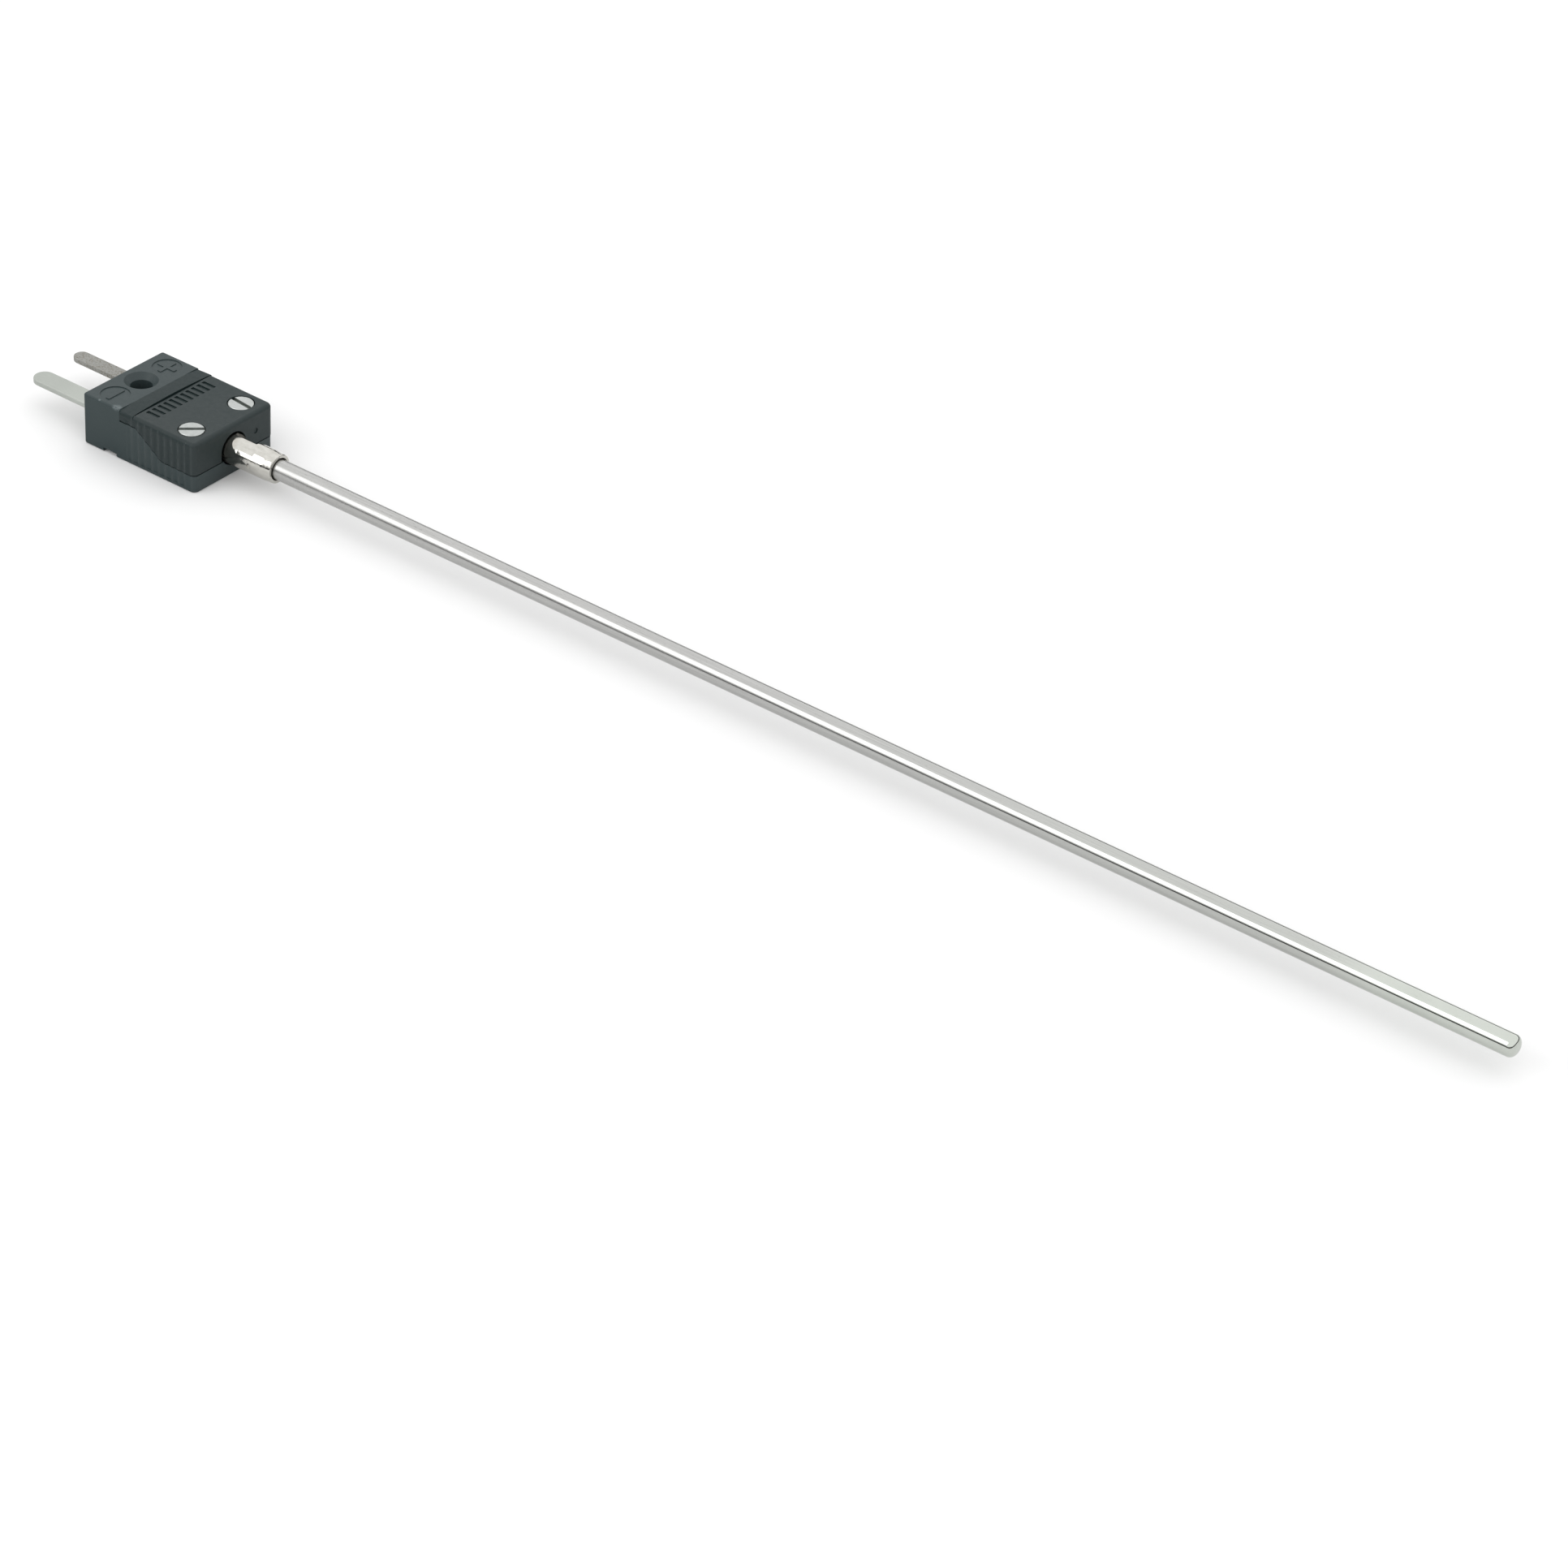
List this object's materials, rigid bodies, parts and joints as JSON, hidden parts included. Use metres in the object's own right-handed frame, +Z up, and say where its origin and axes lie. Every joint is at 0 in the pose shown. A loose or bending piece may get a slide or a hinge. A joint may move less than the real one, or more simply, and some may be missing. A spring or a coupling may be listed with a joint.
{
  "type": "thermocouple probe with miniature plug",
  "caption": "Rigid mineral-insulated thermocouple probe in a metal sheath, crimped into a flat-blade miniature plug with a screwed lift-off cover.",
  "frame": {"origin": "centre of the plug's mating face, on the probe axis", "axes": "+X along the probe towards its tip, +Z up out of the plug's cover, -Y towards the wide negative blade"},
  "size_m": [0.2416, 0.0162, 0.008],
  "materials": {
    "plug_plastic": "matte charcoal moulded thermoplastic",
    "iron_blade": "bare iron, pitted with brown specks",
    "constantan_blade": "satin copper-nickel",
    "zinc_steel": "bright zinc plated",
    "insert_brass": "turned brass",
    "nickel_plate": "bright nickel plated brass",
    "stainless": "drawn stainless tube, fine lengthwise brushing",
    "packed_oxide": "compacted magnesium oxide powder",
    "seal_resin": "dark potting resin",
    "sleeve_plastic": "thin white sleeving"
  },
  "bodies": {
    "plug_and_probe": {"base_shell": "plug_plastic", "blade_positive": "iron_blade", "blade_negative": "constantan_blade", "clamp_washer_positive": "zinc_steel", "clamp_washer_negative": "zinc_steel", "terminal_nut_positive": "insert_brass", "terminal_nut_negative": "insert_brass", "threaded_insert_left": "insert_brass", "threaded_insert_right": "insert_brass", "crimp_ferrule": "nickel_plate", "probe_sheath": "stainless", "tip_cap": "stainless", "mineral_insulation": "packed_oxide", "end_seal": "seal_resin", "wire_positive": "iron_blade", "wire_negative": "constantan_blade", "hot_junction": "constantan_blade", "wire_sleeve_positive": "sleeve_plastic", "wire_sleeve_negative": "sleeve_plastic"},
    "cover": {"cover_shell": "plug_plastic"},
    "left_cover_screw": {"cover_screw_left": "zinc_steel"},
    "right_cover_screw": {"cover_screw_right": "zinc_steel"},
    "positive_terminal_screw": {"terminal_screw_positive": "zinc_steel"},
    "negative_terminal_screw": {"terminal_screw_negative": "zinc_steel"}
  },
  "joints": [
    {"name": "cover_lift_off", "type": "slide", "parent": "plug_and_probe", "child": "cover", "axis": [0, 0, 1], "range_m": [0, 0.012]},
    {"name": "left_cover_screw_turn", "type": "hinge", "parent": "cover", "child": "left_cover_screw", "pos_m": [0.01775, 0.005, 0], "axis": [0, 0, 1], "continuous": true},
    {"name": "right_cover_screw_turn", "type": "hinge", "parent": "cover", "child": "right_cover_screw", "pos_m": [0.01775, -0.005, 0], "axis": [0, 0, 1], "continuous": true},
    {"name": "positive_terminal_screw_turn", "type": "hinge", "parent": "plug_and_probe", "child": "positive_terminal_screw", "pos_m": [0.0096, 0.00396, 0], "axis": [0, 0, 1], "continuous": true},
    {"name": "negative_terminal_screw_turn", "type": "hinge", "parent": "plug_and_probe", "child": "negative_terminal_screw", "pos_m": [0.0096, -0.00396, 0], "axis": [0, 0, 1], "continuous": true}
  ]
}
